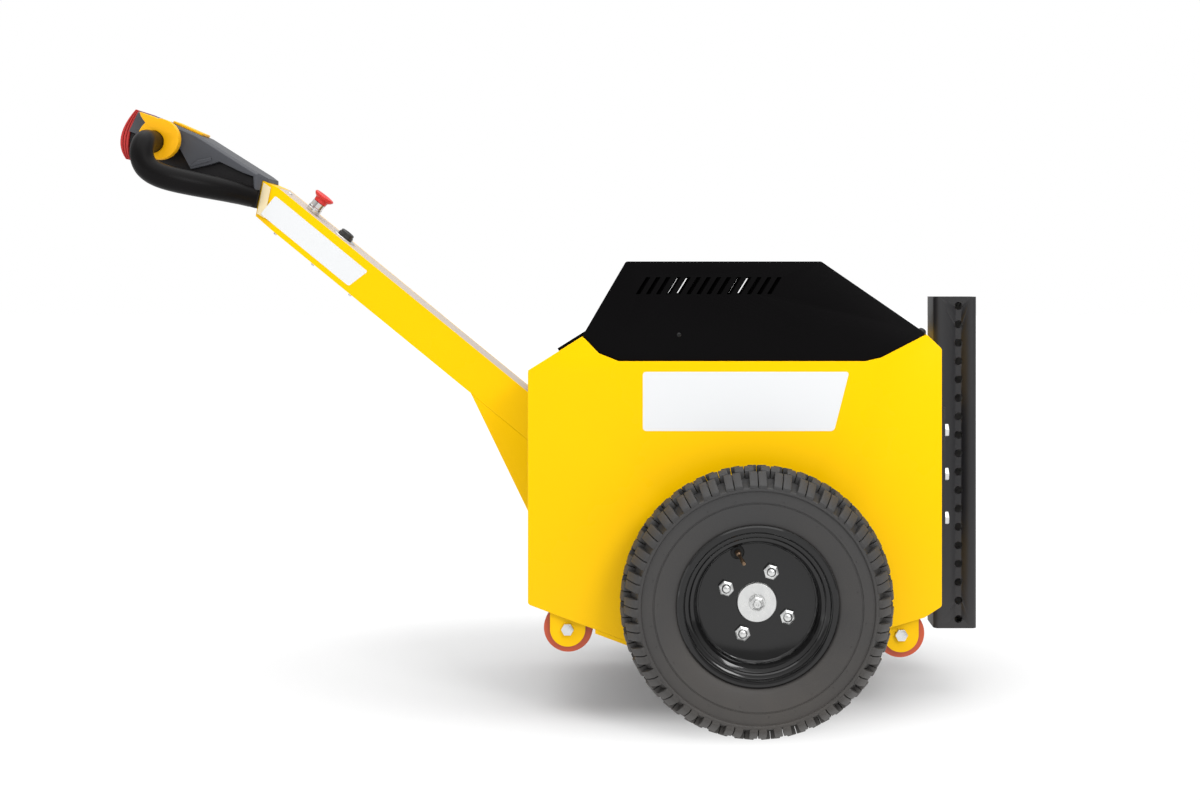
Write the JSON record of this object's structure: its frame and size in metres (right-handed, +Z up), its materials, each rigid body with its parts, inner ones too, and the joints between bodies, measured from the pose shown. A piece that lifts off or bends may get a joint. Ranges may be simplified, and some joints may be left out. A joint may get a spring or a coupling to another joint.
{
  "type": "walk-behind electric tug",
  "caption": "Walk-behind electric tug: yellow steel body with a black vented hood on large drive wheels, a fixed tiller arm with a loop handle head, and a drilled coupling mast in front.",
  "frame": {"origin": "on the floor, under the middle of the whole length and width", "axes": "+X forward to the mast, +Y to the left, +Z up"},
  "size_m": [1.3928, 0.62, 0.954],
  "materials": {
    "body_yellow": "gloss",
    "hood_black": "satin",
    "mast_black": "satin",
    "cover_beige": "satin",
    "rim_black": "gloss",
    "zinc": "satin",
    "chrome_collar": "polished",
    "tyre_rubber": "matte",
    "roller_red": "satin",
    "roller_core": "satin",
    "shell_grey": "matte",
    "shell_black": "matte",
    "control_red": "satin",
    "control_yellow": "satin",
    "drive_iron": "matte",
    "battery_case": "matte"
  },
  "bodies": {
    "chassis": {"side_plate_right": "body_yellow", "side_plate_left": "body_yellow", "rear_panel": "body_yellow", "front_panel": "body_yellow", "belly_pan": "body_yellow", "arm": "body_yellow", "arm_gusset": "body_yellow", "roller_ears": "body_yellow", "battery_tray": "body_yellow", "hood": "hood_black", "mast": "mast_black", "mast_plate": "mast_black", "arm_cover": "cover_beige", "roller_axles": "zinc", "stop_collar": "chrome_collar", "head_upper": "shell_grey", "head_lower": "shell_black", "handle_right": "shell_black", "handle_left": "shell_black", "key_switch": "shell_black", "mast_caps": "shell_black", "reverse_pad": "control_red", "stop_button": "control_red", "thumb_lever_right": "control_yellow", "thumb_lever_left": "control_yellow", "button_strip": "control_yellow", "drive_unit": "drive_iron", "battery_front": "battery_case", "battery_rear": "battery_case"},
    "wheel_right": {"tyre_right": "tyre_rubber", "rim_right": "rim_black", "hub_right": "zinc"},
    "wheel_left": {"tyre_left": "tyre_rubber", "rim_left": "rim_black", "hub_left": "zinc"},
    "roller_rear_right": {"roller_core_rear_right": "roller_core", "roller_tread_rear_right": "roller_red"},
    "roller_rear_left": {"roller_core_rear_left": "roller_core", "roller_tread_rear_left": "roller_red"},
    "roller_front_right": {"roller_core_front_right": "roller_core", "roller_tread_front_right": "roller_red"},
    "roller_front_left": {"roller_core_front_left": "roller_core", "roller_tread_front_left": "roller_red"}
  },
  "joints": [
    {"name": "wheel_right_spin", "type": "hinge", "parent": "chassis", "child": "wheel_right", "pos_m": [0.32641, -0.26, 0.2], "axis": [0, 1, 0], "continuous": true},
    {"name": "wheel_left_spin", "type": "hinge", "parent": "chassis", "child": "wheel_left", "pos_m": [0.32641, 0.26, 0.2], "axis": [0, 1, 0], "continuous": true},
    {"name": "roller_rear_right_spin", "type": "hinge", "parent": "chassis", "child": "roller_rear_right", "pos_m": [0.04141, -0.165, 0.1427], "axis": [0, 1, 0], "continuous": true},
    {"name": "roller_rear_left_spin", "type": "hinge", "parent": "chassis", "child": "roller_rear_left", "pos_m": [0.04141, 0.165, 0.1427], "axis": [0, 1, 0], "continuous": true},
    {"name": "roller_front_right_spin", "type": "hinge", "parent": "chassis", "child": "roller_front_right", "pos_m": [0.55041, -0.165, 0.1342], "axis": [0, 1, 0], "continuous": true},
    {"name": "roller_front_left_spin", "type": "hinge", "parent": "chassis", "child": "roller_front_left", "pos_m": [0.55041, 0.165, 0.1342], "axis": [0, 1, 0], "continuous": true}
  ]
}
